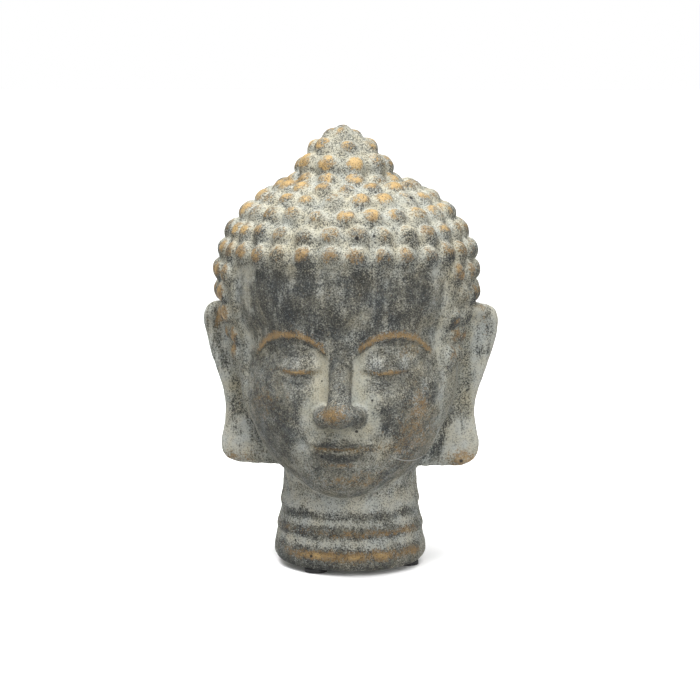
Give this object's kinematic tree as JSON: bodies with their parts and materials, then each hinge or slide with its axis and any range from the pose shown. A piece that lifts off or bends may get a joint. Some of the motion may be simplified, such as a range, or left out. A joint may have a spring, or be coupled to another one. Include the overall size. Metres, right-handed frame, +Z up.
{
  "type": "buddha head figurine",
  "caption": "Cast cement Buddha head with rows of round curls, a topknot, long flared ears, lowered eyelids and a ringed neck cut flat below, on small rubber pads.",
  "frame": {"origin": "on the floor under the middle of the neck, at the underside of the rubber pads", "axes": "+Z up, -Y out of the face, +X to the right of someone who looks at the face"},
  "size_m": [0.1694, 0.1706, 0.2498],
  "materials": {
    "weathered_cement": "matte grey cement with whitish bloom in the recesses and rubbed gold on the high places",
    "black_rubber": "matte"
  },
  "bodies": {
    "root": {"cast_head": "weathered_cement", "rubber_pad_1": "black_rubber", "rubber_pad_2": "black_rubber", "rubber_pad_3": "black_rubber", "rubber_pad_4": "black_rubber"}
  },
  "joints": []
}
